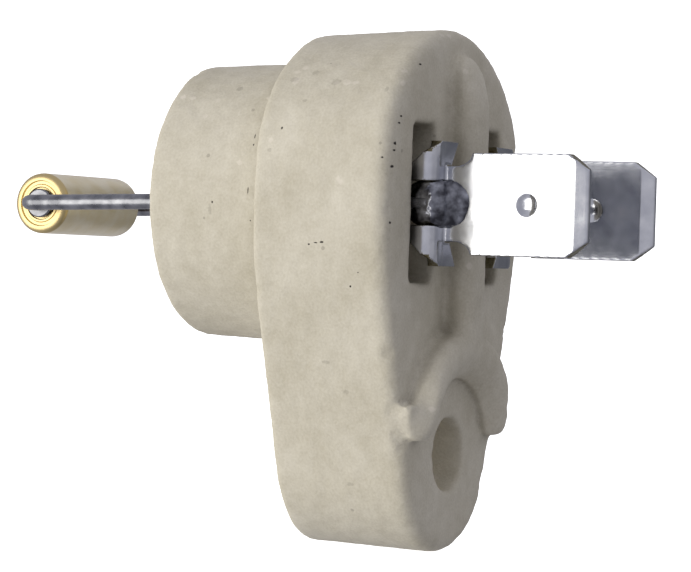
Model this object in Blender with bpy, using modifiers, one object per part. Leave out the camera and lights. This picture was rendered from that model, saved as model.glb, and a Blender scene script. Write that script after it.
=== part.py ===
"""Thermal cutoff on a ceramic holder, as used against flame roll-out in a furnace or boiler.

A pressed steatite holder has a round boss in front, a thick flange with one screw lug below it, and two
pockets behind. A pellet-type thermal cutoff lies across the front of the boss. Its two leads are bent back
through the holder and soldered to two quick-connect tabs.

Frame: the boss axis is Y and the cutoff is at -Y, the tabs point to +Y, the screw lug hangs at -Z, and the
origin is on the boss axis in the plane of the flange's front face, which seats on the sheet-metal panel.
"""

import math

import bmesh
import bpy
from mathutils import Matrix, Vector

MM = 0.001

# ceramic holder
BOSS_RADIUS = 9.1 * MM  # where it meets the flange
BOSS_LENGTH = 8.35 * MM
BOSS_DRAFT = 0.25 * MM  # how much smaller the boss is at its front end
BOSS_EDGE = 0.35 * MM
FLANGE_RADIUS = 11.25 * MM  # the top arc, at the rear
FLANGE_FLAT = 10.75 * MM  # boss axis to the flattening of both sides
FLAT_SHARPNESS = 24  # how closely the sides keep to it
FLANGE_THICKNESS = 9.3 * MM
FLANGE_DRAFT = 0.02  # share by which the front outline is smaller
FLANGE_REAR_EDGE = 0.9 * MM
FLANGE_FRONT_EDGE = 0.25 * MM
LUG_DROP = 15.6 * MM  # boss axis to the middle of the lug's round end
LUG_RADIUS = 6.55 * MM
SCREW_DROP = 15.85 * MM  # boss axis to screw hole
SCREW_HOLE_RADIUS = 2.35 * MM
SCREW_SEAT_RADIUS = 4.85 * MM
RIB_HEIGHT = 1.8 * MM
RIB_HALF_WIDTH = 1.5 * MM  # at its base
RIB_EDGE = 0.95 * MM  # rounding of the crest, on the rib and on the hump
RIB_TOP_INSET = 1.7 * MM  # from the top of the flange to the end of the rib
RIB_RAMP_LENGTH = 4.1 * MM  # over which the rib's upper end slopes down
RIB_RAMP_DROP = 1.1 * MM
RIB_STEP = 0.8 * MM  # between points along the rib's sides
HUMP_CENTRE_Z = -14.85 * MM
HUMP_RADIUS = 6.95 * MM
HUMP_TOP_Z = -12.5 * MM  # where the hump's upper edge meets the flange's side
HUMP_BOTTOM_Z = -14.8 * MM
HUMP_END_SLOPE = 0.5 * MM  # how far the hump's ends lean in at its crest
HUMP_CORNER = 0.6 * MM
POCKET_DEPTH = 3.2 * MM
POCKET_HALF_HEIGHT = 4.95 * MM
POCKET_INNER_X = 3.4 * MM
POCKET_CORNER = 0.4 * MM
POCKET_WALL_GAP = 0.05 * MM  # lead to the pocket's outer wall

# quick-connect terminals, 6.35 x 0.8 mm
TAB_WIDTH = 6.35 * MM
TAB_THICKNESS = 0.8 * MM
TAB_RISE = 9.9 * MM  # from the foot's rear face to the tip
TAB_LEAN = math.radians(6.2)
TAB_CORNER_LENGTH = 1.35 * MM
TAB_CORNER_INSET = 0.96 * MM
TAB_TIP_BEVEL = 0.9 * MM
TAB_TIP_SHARE = 0.45  # the tip's thickness as a share of the tab's
NECK_WIDTH = 4.7 * MM
NECK_LENGTH = 2.55 * MM  # from the foot's rear face to the tab's shoulders
RELIEF_LENGTH = 1.2 * MM  # of the rounded relief under each shoulder
EAR_SPAN = 7.8 * MM
EAR_INNER_X = 3.0 * MM
EAR_HEEL_X = 4.1 * MM  # where the ear's slanted end meets the neck's side
EAR_OVERLAP = 0.15 * MM  # how far an ear runs into the foot and the neck that it is one with
LEG_TAPER = 0.95 * MM  # length of leg, below the bend, over which it widens to the ears
FOOT_STANDOFF = 0.6 * MM  # the holder's rear face to the underside of the foot
LEG_X = 6.05 * MM  # middle of the leg's thickness
LEG_DEPTH = 2.6 * MM  # below the holder's rear face
BEND_RADIUS = 0.5 * MM  # to the middle of the sheet
BLADE_BASE_X = 4.65 * MM
SLOT_HALF_WIDTH = 1.37 * MM
SLOT_RISE = 2.3 * MM  # above the foot's rear face
SOLDER_HALF_X = 1.0 * MM
SOLDER_HALF_Y = 1.35 * MM
SOLDER_INSET = 0.4 * MM  # towards the blade from the lead's middle
SOLDER_RISE = 0.45 * MM  # from the middle of the foot's thickness
DIMPLE_FROM_TIP = 4.15 * MM
DIMPLE_RADIUS = 0.75 * MM
DIMPLE_BALL = 1.3 * MM

# thermal cutoff
CASE_RADIUS = 2.0 * MM
CASE_LENGTH = 9.85 * MM
CASE_WALL = 0.3 * MM
CASE_END_WALL = 0.4 * MM
CASE_END_ROUND = 0.35 * MM
CASE_Y = -BOSS_LENGTH - 10.25 * MM
CASE_Z = -0.5 * MM
LEAD_RADIUS = 0.51 * MM
LEAD_BEND = 0.9 * MM
LEAD_BORE_RADIUS = LEAD_RADIUS + 0.34 * MM
LEAD_FRONT_X = 6.95 * MM  # lead's middle beside the cutoff
LEAD_REAR_X = 6.1 * MM  # and at its soldered end
LEAD_END_Y = FLANGE_THICKNESS + 0.8 * MM
LEAD_COLLAR_RADIUS = LEAD_RADIUS + 0.44 * MM
LEAD_COLLAR_LENGTH = 0.18 * MM
PELLET_LENGTH = 1.9 * MM
DISC_THICKNESS = 0.25 * MM
MAIN_SPRING_LENGTH = 1.5 * MM
TRIP_SPRING_LENGTH = 1.05 * MM
SPRING_WIRE = 0.12 * MM  # radius
SPRING_STEPS = 14  # points in each turn
MAIN_SPRING_RADIUS = CASE_RADIUS - CASE_WALL - 0.45 * MM
TRIP_SPRING_RADIUS = CASE_RADIUS - CASE_WALL - 0.4 * MM
STAR_THICKNESS = 0.3 * MM
STAR_POINTS = 8
STAR_ROOT = 0.6  # radius between the points, as a share of the star's
LEAD_HEAD_RADIUS = LEAD_RADIUS + 0.34 * MM
LEAD_HEAD_LENGTH = 0.45 * MM
BUSHING_LENGTH = 2.2 * MM
SEAL_RISE = 0.35 * MM  # how far the sealing resin stands out of the case
SEAL_SHOULDER = 0.8  # radius where the seal's dome turns down, as a share of the mouth's

FIT = 0.05 * MM  # between pieces that touch
MERGE = 0.01 * MM  # points closer than this are one
ROUND_STEPS = 48
SMALL_STEPS = 32
OVERSHOOT = 1.0 * MM  # how far a cutter runs past the face that it opens

COLLECTION = "thermal_cutoff_holder"
CERAMIC = (0.58, 0.53, 0.42)
TIN = (0.55, 0.55, 0.56)
SOLDER_GREY = (0.4, 0.41, 0.43)
GOLD = (0.62, 0.5, 0.28)
STEEL = (0.45, 0.45, 0.46)
SILVER = (0.7, 0.7, 0.7)
ORGANIC = (0.75, 0.7, 0.6)
WHITE_CERAMIC = (0.8, 0.79, 0.75)
RESIN = (0.25, 0.12, 0.05)

# local Z turned to the world axis that each group of pieces is built along
ALONG_FRONT = Matrix.Rotation(math.radians(90), 4, "X")  # local Z to world -Y, local Y to world Z
ALONG_CASE = Matrix.Translation((0, CASE_Y, CASE_Z)) @ Matrix.Rotation(math.radians(90), 4, "Y")


def clear_scene():
    for obj in list(bpy.data.objects):
        bpy.data.objects.remove(obj, do_unlink=True)


def new_collection(name):
    collection = bpy.data.collections.new(name)
    bpy.context.scene.collection.children.link(collection)
    return collection


def new_material(name, colour, roughness, metallic):
    material = bpy.data.materials.new(name)
    material.use_nodes = True
    shader = material.node_tree.nodes["Principled BSDF"]
    shader.inputs["Base Color"].default_value = (*colour, 1)
    shader.inputs["Roughness"].default_value = roughness
    shader.inputs["Metallic"].default_value = metallic
    return material


def add_piece(name, mesh, material):
    """A visible sub-part."""
    obj = bpy.data.objects.new(name, mesh)
    mesh.materials.clear()
    mesh.materials.append(material)
    mesh.shade_smooth()
    mesh.set_sharp_from_angle(angle=math.radians(30))
    parts.objects.link(obj)
    return obj


def add_cutter(name, mesh):
    obj = bpy.data.objects.new(name, mesh)
    obj.hide_render = True
    obj.display_type = "WIRE"
    cutters.objects.link(obj)
    return obj


def combine(target, other, operation, solver="EXACT"):
    """The exact solver leaves gaps in the holder and the terminals, so those take the manifold one."""
    modifier = target.modifiers.new(f"{operation.lower()} {other.name}", "BOOLEAN")
    modifier.operation = operation
    modifier.object = other
    modifier.solver = solver


def evaluated_mesh(obj, matrix):
    """The object's finished mesh, welded and moved by the matrix; the object itself is removed."""
    bpy.context.view_layer.update()
    mesh = bpy.data.meshes.new_from_object(obj.evaluated_get(bpy.context.evaluated_depsgraph_get()))
    bpy.data.objects.remove(obj, do_unlink=True)
    edited = bmesh.new()
    edited.from_mesh(mesh)
    bmesh.ops.remove_doubles(edited, verts=edited.verts, dist=1e-7)
    bmesh.ops.transform(edited, matrix=matrix, verts=edited.verts)
    bmesh.ops.recalc_face_normals(edited, faces=edited.faces)
    edited.to_mesh(mesh)
    edited.free()
    return mesh


def turned_mesh(profile, matrix, steps=ROUND_STEPS, closed=False):
    """A solid of revolution. The profile is (radius, height) pairs, top to bottom on the outer side."""
    mesh = bpy.data.meshes.new("profile")
    edited = bmesh.new()
    verts = [edited.verts.new((radius, 0, height)) for radius, height in profile]
    for first, second in zip(verts, verts[1:]):
        edited.edges.new((first, second))
    if closed:
        edited.edges.new((verts[-1], verts[0]))
    edited.to_mesh(mesh)
    edited.free()
    obj = bpy.data.objects.new("profile", mesh)
    bpy.context.scene.collection.objects.link(obj)
    screw = obj.modifiers.new("turn", "SCREW")
    screw.steps = steps
    screw.render_steps = steps
    screw.use_merge_vertices = True
    screw.merge_threshold = 1e-7
    return evaluated_mesh(obj, matrix)


def flat_mesh(outline, thickness, matrix):
    """A plate from a closed outline in local X and Y, centred on local Z."""
    curve = bpy.data.curves.new("outline", "CURVE")
    curve.dimensions = "2D"
    curve.fill_mode = "BOTH"
    curve.extrude = thickness / 2
    spline = curve.splines.new("POLY")
    spline.points.add(len(outline) - 1)
    for point, (x, y) in zip(spline.points, outline):
        point.co = (x, y, 0, 1)
    spline.use_cyclic_u = True
    obj = bpy.data.objects.new("outline", curve)
    bpy.context.scene.collection.objects.link(obj)
    return evaluated_mesh(obj, matrix)


def wire_mesh(points, radius):
    """A round wire through the points."""
    curve = bpy.data.curves.new("wire", "CURVE")
    curve.dimensions = "3D"
    curve.bevel_depth = radius
    curve.bevel_resolution = 2
    curve.use_fill_caps = True
    spline = curve.splines.new("POLY")
    spline.points.add(len(points) - 1)
    for point, place in zip(spline.points, points):
        point.co = (*place, 1)
    obj = bpy.data.objects.new("wire", curve)
    bpy.context.scene.collection.objects.link(obj)
    return evaluated_mesh(obj, Matrix())


def rod_mesh(radius, low, high, matrix, steps=SMALL_STEPS):
    return turned_mesh([(0, high), (radius, high), (radius, low), (0, low)], matrix, steps)


def arc(centre, radius, start, end, count):
    """Points on a circle, angles in radians, both ends included."""
    angles = [start + (end - start) * i / (count - 1) for i in range(count)]
    return [(centre[0] + radius * math.cos(a), centre[1] + radius * math.sin(a)) for a in angles]


def bevel_edges_at(mesh, height, offset, segments):
    """Rounds the edges of the flat face at this local Z."""
    edited = bmesh.new()
    edited.from_mesh(mesh)
    on_face = [e for e in edited.edges if all(abs(v.co.z - height) < 1e-7 for v in e.verts)]
    rim = [e for e in on_face if any(abs(f.normal.z) < 0.5 for f in e.link_faces)]
    bmesh.ops.bevel(edited, geom=rim, offset=offset, segments=segments, profile=0.5, affect="EDGES")
    edited.to_mesh(mesh)
    edited.free()


def triangulate(mesh):
    edited = bmesh.new()
    edited.from_mesh(mesh)
    bmesh.ops.triangulate(edited, faces=edited.faces)
    edited.to_mesh(mesh)
    edited.free()


def side_slope():
    """The angle of the flange's straight sides, which are tangent to the top arc and the lug."""
    return math.asin((FLANGE_RADIUS - LUG_RADIUS) / LUG_DROP)


def limited(x):
    """A distance from the middle held inside the flange's flattened sides, with no corner."""
    share = (1 + (abs(x) / FLANGE_FLAT) ** FLAT_SHARPNESS) ** (-1 / FLAT_SHARPNESS)
    return x * share


def side_x(z):
    """Half the flange's width at height z on its straight sides."""
    slope = side_slope()
    return limited((FLANGE_RADIUS + z * math.sin(slope)) / math.cos(slope))


def flange_outline():
    slope = side_slope()
    top = arc((0, 0), FLANGE_RADIUS, -slope, math.pi + slope, 49)
    lug = arc((0, -LUG_DROP), LUG_RADIUS, math.pi + slope, 2 * math.pi - slope, 25)
    run = [i / 8 for i in range(1, 8)]
    low, high = Vector(lug[-1]), Vector(top[0])
    right = [tuple(low.lerp(high, share)) for share in run]
    left = [(-x, z) for x, z in reversed(right)]
    return [(limited(x), z) for x, z in (*top, *left, *lug, *right)]


def make_flange():
    """The thick oblong flange, its front a little smaller for the press's draft."""
    mesh = flat_mesh(flange_outline(), FLANGE_THICKNESS, Matrix())
    front, rear = FLANGE_THICKNESS / 2, -FLANGE_THICKNESS / 2
    bevel_edges_at(mesh, front, FLANGE_FRONT_EDGE, 2)
    bevel_edges_at(mesh, rear, FLANGE_REAR_EDGE, 3)
    middle_z = -LUG_DROP / 2
    for vert in mesh.vertices:
        share = 1 - FLANGE_DRAFT * (vert.co.z - rear) / FLANGE_THICKNESS
        vert.co.x *= share
        vert.co.y = middle_z + (vert.co.y - middle_z) * share
    mesh.transform(Matrix.Translation((0, FLANGE_THICKNESS / 2, 0)) @ ALONG_FRONT)
    return add_piece("ceramic_holder", mesh, ceramic)


def make_boss():
    front_radius = BOSS_RADIUS - BOSS_DRAFT
    edge = arc((front_radius - BOSS_EDGE, BOSS_LENGTH - BOSS_EDGE), BOSS_EDGE, math.pi / 2, 0, 4)
    profile = [(0, BOSS_LENGTH), *edge, (BOSS_RADIUS, 0), (BOSS_RADIUS, -OVERSHOOT), (0, -OVERSHOOT)]
    return add_cutter("boss", turned_mesh(profile, ALONG_FRONT, 64))


def make_rib():
    """The rib on the rear face and the hump it widens into, which stands like a collar round the screw."""
    top = FLANGE_RADIUS - RIB_TOP_INSET - RIB_HALF_WIDTH
    crown = arc((0, top), RIB_HALF_WIDTH, 0, math.pi, 13)
    high_x, low_x = side_x(HUMP_TOP_Z), side_x(HUMP_BOTTOM_Z)
    corner = arc((low_x - HUMP_CORNER, HUMP_BOTTOM_Z + HUMP_CORNER), HUMP_CORNER, -math.pi / 2, 0, 4)
    outer = math.asin((HUMP_TOP_Z - HUMP_CENTRE_Z) / HUMP_RADIUS)
    inner = math.acos(RIB_HALF_WIDTH / HUMP_RADIUS)
    shoulder = arc((0, HUMP_CENTRE_Z), HUMP_RADIUS, outer, inner, 12)
    steps = int((top - shoulder[-1][1]) / RIB_STEP)
    side = [(RIB_HALF_WIDTH, shoulder[-1][1] + i * RIB_STEP) for i in range(1, steps)]
    right = [*corner, (high_x, HUMP_TOP_Z), *shoulder, *side]
    left = [(-x, z) for x, z in reversed(right)]
    seat_end = math.asin((HUMP_BOTTOM_Z + SCREW_DROP) / SCREW_SEAT_RADIUS)
    seat = arc((0, -SCREW_DROP), SCREW_SEAT_RADIUS, math.pi - seat_end, seat_end, 25)
    base, crest = FLANGE_THICKNESS - OVERSHOOT, FLANGE_THICKNESS + RIB_HEIGHT
    mesh = flat_mesh([*right, *crown, *left, *seat], crest - base, Matrix())
    bevel_edges_at(mesh, -(crest - base) / 2, RIB_EDGE, 4)
    ramp_start = FLANGE_RADIUS - RIB_TOP_INSET - RIB_RAMP_LENGTH
    for vert in mesh.vertices:
        rise = max(0, -2 * vert.co.z / (crest - base))
        if abs(vert.co.x) > HUMP_RADIUS - RIB_EDGE and vert.co.y < HUMP_TOP_Z + RIB_EDGE:
            vert.co.x -= math.copysign(HUMP_END_SLOPE * rise, vert.co.x)
        ramp = max(0, vert.co.y - ramp_start) / RIB_RAMP_LENGTH
        vert.co.z += RIB_RAMP_DROP * ramp**2 * rise
    triangulate(mesh)
    mesh.transform(Matrix.Translation((0, (base + crest) / 2, 0)) @ ALONG_FRONT)
    return add_cutter("rib", mesh)


def make_pocket(side):
    """Where a terminal's leg and ears are let into the rear face."""
    outer_x = lead_x(FLANGE_THICKNESS - POCKET_DEPTH) + LEAD_RADIUS + POCKET_WALL_GAP
    low, high = POCKET_INNER_X + POCKET_CORNER, outer_x - POCKET_CORNER
    z = POCKET_HALF_HEIGHT - POCKET_CORNER
    outline = []
    for quarter, centre in enumerate(((high, z), (low, z), (low, -z), (high, -z))):
        start = quarter * math.pi / 2
        outline += arc(centre, POCKET_CORNER, start, start + math.pi / 2, 4)
    if side < 0:
        outline = [(-x, y) for x, y in reversed(outline)]
    depth = POCKET_DEPTH + OVERSHOOT
    middle_y = FLANGE_THICKNESS - POCKET_DEPTH + depth / 2
    mesh = flat_mesh(outline, depth, Matrix.Translation((0, middle_y, 0)) @ ALONG_FRONT)
    return add_cutter(f"pocket_{side}", mesh)


def lead_x(y):
    """The lead's middle along its straight run back through the holder."""
    start_y = CASE_Y + LEAD_BEND
    return LEAD_FRONT_X + (LEAD_REAR_X - LEAD_FRONT_X) * (y - start_y) / (LEAD_END_Y - start_y)


def make_lead_bore(side):
    """A straight bore from the pocket's floor to the boss's front face."""
    floor_y = FLANGE_THICKNESS - POCKET_DEPTH
    middle_x = side * (lead_x(floor_y) + lead_x(-BOSS_LENGTH)) / 2
    place = Matrix.Translation((middle_x, 0, CASE_Z / 2)) @ ALONG_FRONT
    mesh = rod_mesh(LEAD_BORE_RADIUS, -floor_y - FIT, BOSS_LENGTH + OVERSHOOT, place, 24)
    return add_cutter(f"lead_bore_{side}", mesh)


def make_screw_hole():
    place = Matrix.Translation((0, 0, -SCREW_DROP)) @ ALONG_FRONT
    mesh = rod_mesh(SCREW_HOLE_RADIUS, -FLANGE_THICKNESS - OVERSHOOT, OVERSHOOT, place)
    return add_cutter("screw_hole", mesh)


def make_holder():
    """One pressed and fired piece."""
    holder = make_flange()
    combine(holder, make_boss(), "UNION", "MANIFOLD")
    combine(holder, make_rib(), "UNION", "MANIFOLD")
    for side in (1, -1):
        combine(holder, make_pocket(side), "DIFFERENCE", "MANIFOLD")
        combine(holder, make_lead_bore(side), "DIFFERENCE", "MANIFOLD")
    combine(holder, make_screw_hole(), "DIFFERENCE", "MANIFOLD")


def foot_y():
    """The middle of the foot's thickness."""
    return FLANGE_THICKNESS + FOOT_STANDOFF + TAB_THICKNESS / 2


def terminal_lengths():
    """Lengths along the middle of the sheet: leg, first bend, foot, second bend, blade."""
    leg = foot_y() - BEND_RADIUS - (FLANGE_THICKNESS - LEG_DEPTH)
    first = BEND_RADIUS * math.pi / 2
    foot = LEG_X - BEND_RADIUS - (BLADE_BASE_X + BEND_RADIUS)
    second = BEND_RADIUS * (math.pi / 2 + TAB_LEAN)
    blade = (TAB_RISE + TAB_THICKNESS / 2 - BEND_RADIUS) / math.cos(TAB_LEAN)
    return leg, first, foot, second, blade


def folded(along, offset):
    """Where a point of the flat blank goes when it is bent: X and Y of the finished terminal."""
    x, y, heading = LEG_X, FLANGE_THICKNESS - LEG_DEPTH, math.pi / 2
    turns = (0, math.pi / 2, 0, -(math.pi / 2 + TAB_LEAN), 0)
    for length, turn in zip(terminal_lengths(), turns):
        step = min(along, length)
        if turn:
            radius = math.copysign(BEND_RADIUS, turn)
            centre = (x - radius * math.sin(heading), y + radius * math.cos(heading))
            heading += step / radius
            x, y = centre[0] + radius * math.sin(heading), centre[1] - radius * math.cos(heading)
        else:
            x, y = x + step * math.cos(heading), y + step * math.sin(heading)
        along -= step
        if along <= 0:
            break
    return x - offset * math.sin(heading), y + offset * math.cos(heading)


def terminal_blank():
    """The flat outline: a forked leg that widens to the ears, a neck with a round relief on each side, and
    the blade."""
    leg, first, foot, second, blade = terminal_lengths()
    root = leg + first + foot + second
    tip = root + blade
    shoulder = root + NECK_LENGTH - TAB_THICKNESS
    slot_end = root + SLOT_RISE - TAB_THICKNESS
    half, neck = TAB_WIDTH / 2, NECK_WIDTH / 2
    relief = half - neck
    relief_arc = arc((0, 0), 1, 1.5 * math.pi, 2 * math.pi, 9)
    bend_end = leg + first + foot
    right = [
        (0, neck),
        (leg - LEG_TAPER, neck),
        (leg + first, EAR_SPAN / 2),
        (bend_end, EAR_SPAN / 2),
        (bend_end, neck),
        *[(shoulder + (s - 1) * RELIEF_LENGTH, half + z * relief) for s, z in relief_arc],
        (tip - TAB_CORNER_LENGTH, half),
        (tip, half - TAB_CORNER_INSET),
    ]
    left = [(s, -z) for s, z in reversed(right)]
    slot = arc((slot_end - SLOT_HALF_WIDTH, 0), SLOT_HALF_WIDTH, -math.pi / 2, math.pi / 2, 17)
    return [*right, *left, (0, -SLOT_HALF_WIDTH), *slot, (0, SLOT_HALF_WIDTH)][::-1]


def bend_blank(mesh):
    """Cuts the blank across at its bends, folds it and thins its tip."""
    leg, first, foot, second, blade = terminal_lengths()
    tip = leg + first + foot + second + blade
    cuts = [leg + first * i / 5 for i in range(6)]
    cuts += [leg + first + foot + second * i / 5 for i in range(6)]
    cuts.append(tip - TAB_TIP_BEVEL)
    edited = bmesh.new()
    edited.from_mesh(mesh)
    for place in cuts:
        everything = [*edited.verts, *edited.edges, *edited.faces]
        across = {"plane_co": (place, 0, 0), "plane_no": (1, 0, 0)}
        bmesh.ops.bisect_plane(edited, geom=everything, dist=1e-7, **across)
    bmesh.ops.remove_doubles(edited, verts=edited.verts, dist=MERGE)
    bmesh.ops.triangulate(edited, faces=edited.faces)
    for vert in edited.verts:
        along, z, offset = vert.co
        if along > tip - TAB_TIP_BEVEL:
            offset *= 1 - (1 - TAB_TIP_SHARE) * (along - tip + TAB_TIP_BEVEL) / TAB_TIP_BEVEL
        x, y = folded(along, offset)
        vert.co = (x, y, z)
    edited.normal_update()
    bmesh.ops.recalc_face_normals(edited, faces=edited.faces)
    edited.to_mesh(mesh)
    edited.free()


def to_side(mesh, side):
    """The mirror image of a piece made for +X."""
    if side < 0:
        mesh.transform(Matrix.Scale(-1, 4, (1, 0, 0)))
        mesh.flip_normals()
    return mesh


def make_terminal(name, side):
    mesh = flat_mesh(terminal_blank(), TAB_THICKNESS, Matrix())
    bend_blank(mesh)
    terminal = add_piece(name, to_side(mesh, side), tinned_brass)
    neck, span = NECK_WIDTH / 2 - EAR_OVERLAP, EAR_SPAN / 2
    outer_x = BLADE_BASE_X + BEND_RADIUS + EAR_OVERLAP
    for up in (1, -1):
        ear = [(outer_x, neck), (outer_x, span), (EAR_INNER_X, span), (EAR_HEEL_X, neck)]
        ear = ear if up > 0 else [(x, -z) for x, z in reversed(ear)]
        place = Matrix.Translation((0, foot_y(), 0)) @ ALONG_FRONT
        plate = to_side(flat_mesh(ear, TAB_THICKNESS - FIT, place), side)
        combine(terminal, add_cutter(f"{name}_ear_{up}", plate), "UNION", "MANIFOLD")
    tip = sum(terminal_lengths())
    reach = TAB_THICKNESS / 2 + math.sqrt(DIMPLE_BALL**2 - DIMPLE_RADIUS**2)
    for face in (1, -1):
        x, y = folded(tip - DIMPLE_FROM_TIP, face * reach)
        ball = bpy.data.meshes.new("dimple")
        edited = bmesh.new()
        bmesh.ops.create_uvsphere(edited, u_segments=24, v_segments=16, radius=DIMPLE_BALL)
        bmesh.ops.translate(edited, vec=(side * x, y, 0), verts=edited.verts)
        edited.to_mesh(ball)
        edited.free()
        combine(terminal, add_cutter(f"{name}_dimple_{face}", ball), "DIFFERENCE", "MANIFOLD")


def make_solder(name, side):
    """The solder that fills the terminal's slot round the end of the lead."""
    mesh = bpy.data.meshes.new(name)
    edited = bmesh.new()
    bmesh.ops.create_uvsphere(edited, u_segments=24, v_segments=16, radius=1)
    squash = Matrix.Diagonal((SOLDER_HALF_X, SOLDER_HALF_Y, SLOT_HALF_WIDTH - 2 * FIT, 1))
    place = Matrix.Translation((side * (LEAD_REAR_X - SOLDER_INSET), foot_y() + SOLDER_RISE, 0))
    bmesh.ops.transform(edited, matrix=place @ squash, verts=edited.verts)
    edited.to_mesh(mesh)
    edited.free()
    joint = add_piece(name, mesh, solder)
    run = lead_path(0, side)[-2:]
    run[-1] = (run[-1][0], run[-1][1] + FIT, run[-1][2])
    combine(joint, add_cutter(f"{name}_lead", wire_mesh(run, LEAD_RADIUS + FIT)), "DIFFERENCE")


def lead_path(start_x, side):
    """Points from the cutoff's end, round the bend and back through the holder."""
    corner_x = LEAD_FRONT_X - LEAD_BEND
    bend = arc((corner_x, CASE_Y + LEAD_BEND), LEAD_BEND, -math.pi / 2, 0, 9)
    bend = [(x, y, CASE_Z) for x, y in bend]
    runs = [(lead_x(y), y, CASE_Z / 2) for y in (-BOSS_LENGTH, 0)]
    path = [(start_x, CASE_Y, CASE_Z), *bend, *runs, (LEAD_REAR_X, LEAD_END_Y, 0)]
    return [(side * x, y, z) for x, y, z in path]


def case_stack():
    """Where each inner piece starts, working from the closed end at +X towards -X."""
    lengths = [
        ("pellet", PELLET_LENGTH),
        ("pellet_disc", DISC_THICKNESS),
        ("main_spring", MAIN_SPRING_LENGTH),
        ("contact_disc", DISC_THICKNESS),
        ("star", STAR_THICKNESS),
        ("trip_spring", TRIP_SPRING_LENGTH),
        ("bushing", BUSHING_LENGTH),
    ]
    place = CASE_LENGTH / 2 - CASE_END_WALL - FIT
    stack = {}
    for name, length in lengths:
        stack[name] = (place - length, place)
        place -= length + FIT
    stack["seal"] = (-CASE_LENGTH / 2 - SEAL_RISE, place)
    return stack


def make_case():
    """The drawn metal case: a cup closed at +X, its rim turned in a little over the seal."""
    half, inner = CASE_LENGTH / 2, CASE_RADIUS - CASE_WALL
    bore = LEAD_RADIUS + FIT
    flat = CASE_RADIUS - CASE_END_ROUND
    corner = arc((flat, half - CASE_END_ROUND), CASE_END_ROUND, math.pi / 2, 0, 5)
    rim = arc((flat, -half + CASE_END_ROUND), CASE_END_ROUND, 0, -math.pi / 2, 5)
    mouth = inner - CASE_WALL / 2
    profile = [
        (bore, half),
        *corner,
        *rim,
        (mouth, -half),
        (mouth, -half + CASE_WALL),
        (inner, -half + 2 * CASE_WALL),
        (inner, half - CASE_END_WALL),
        (bore, half - CASE_END_WALL),
    ]
    add_piece("fuse_case", turned_mesh(profile, ALONG_CASE, 40, closed=True), gold)


def make_case_lead():
    """The lead staked into the closed end, with a collar outside."""
    half = CASE_LENGTH / 2
    wire = wire_mesh(lead_path(half - CASE_END_WALL, 1), LEAD_RADIUS)
    lead = add_piece("case_lead", wire, tinned_copper)
    edge = LEAD_COLLAR_LENGTH / 2
    low, high = half + FIT, half + FIT + LEAD_COLLAR_LENGTH
    profile = [
        (0, high),
        (LEAD_COLLAR_RADIUS - edge, high),
        (LEAD_COLLAR_RADIUS, high - edge),
        (LEAD_COLLAR_RADIUS, low),
        (0, low),
    ]
    collar = turned_mesh(profile, ALONG_CASE, SMALL_STEPS)
    combine(lead, add_cutter("case_lead_collar", collar), "UNION")


def make_isolated_lead(stack):
    """The lead whose head the contact rests on, led out through the bushing and the seal."""
    head = stack["star"][0] - FIT
    path = lead_path(-head, -1)
    lead = add_piece("isolated_lead", wire_mesh(path, LEAD_RADIUS), tinned_copper)
    mesh = rod_mesh(LEAD_HEAD_RADIUS, head - LEAD_HEAD_LENGTH, head, ALONG_CASE)
    combine(lead, add_cutter("isolated_lead_head", mesh), "UNION")


def make_tube(name, low, high, radius, bore, material):
    profile = [(bore, high), (radius, high), (radius, low), (bore, low)]
    return add_piece(name, turned_mesh(profile, ALONG_CASE, SMALL_STEPS, closed=True), material)


def make_seal(low, high, radius, bore):
    """The resin plug, domed where it stands out of the case."""
    mouth = CASE_RADIUS - 1.5 * CASE_WALL - FIT
    face = -CASE_LENGTH / 2
    step = face + 2 * CASE_WALL + 2 * FIT
    dome = [(mouth, face), (mouth * SEAL_SHOULDER, face + (low - face) * 2 / 3), (bore, low)]
    profile = [(bore, high), (radius, high), (radius, step), (mouth, step - CASE_WALL), *dome]
    add_piece("epoxy_seal", turned_mesh(profile, ALONG_CASE, SMALL_STEPS, closed=True), resin)


def make_spring(name, low, high, radius, turns):
    """An open coil between two flat faces."""
    start, end = low + SPRING_WIRE, high - SPRING_WIRE
    count = turns * SPRING_STEPS
    points = []
    for i in range(count + 1):
        angle = 2 * math.pi * i / SPRING_STEPS
        rise = start + (end - start) * i / count
        points.append(ALONG_CASE @ Vector((radius * math.cos(angle), radius * math.sin(angle), rise)))
    add_piece(name, wire_mesh(points, SPRING_WIRE), spring_steel)


def make_star(low, high, radius):
    """The floating contact, whose points wipe the inside of the case."""
    outline = []
    for i in range(2 * STAR_POINTS):
        reach = radius if i % 2 == 0 else radius * STAR_ROOT
        angle = math.pi * i / STAR_POINTS
        outline.append((reach * math.cos(angle), reach * math.sin(angle)))
    place = ALONG_CASE @ Matrix.Translation((0, 0, (low + high) / 2))
    add_piece("star_contact", flat_mesh(outline, high - low, place), silver)


def make_inner_pieces():
    stack = case_stack()
    inside = CASE_RADIUS - CASE_WALL - FIT
    bore = LEAD_RADIUS + FIT
    add_piece("thermal_pellet", rod_mesh(inside, *stack["pellet"], ALONG_CASE), organic)
    add_piece("pellet_disc", rod_mesh(inside, *stack["pellet_disc"], ALONG_CASE), spring_steel)
    make_spring("compression_spring", *stack["main_spring"], MAIN_SPRING_RADIUS, 3)
    add_piece("contact_disc", rod_mesh(inside, *stack["contact_disc"], ALONG_CASE), spring_steel)
    make_star(*stack["star"], inside)
    make_spring("trip_spring", *stack["trip_spring"], TRIP_SPRING_RADIUS, 2)
    make_tube("ceramic_bushing", *stack["bushing"], inside, bore, white_ceramic)
    make_seal(*stack["seal"], inside, bore)
    make_isolated_lead(stack)


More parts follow.
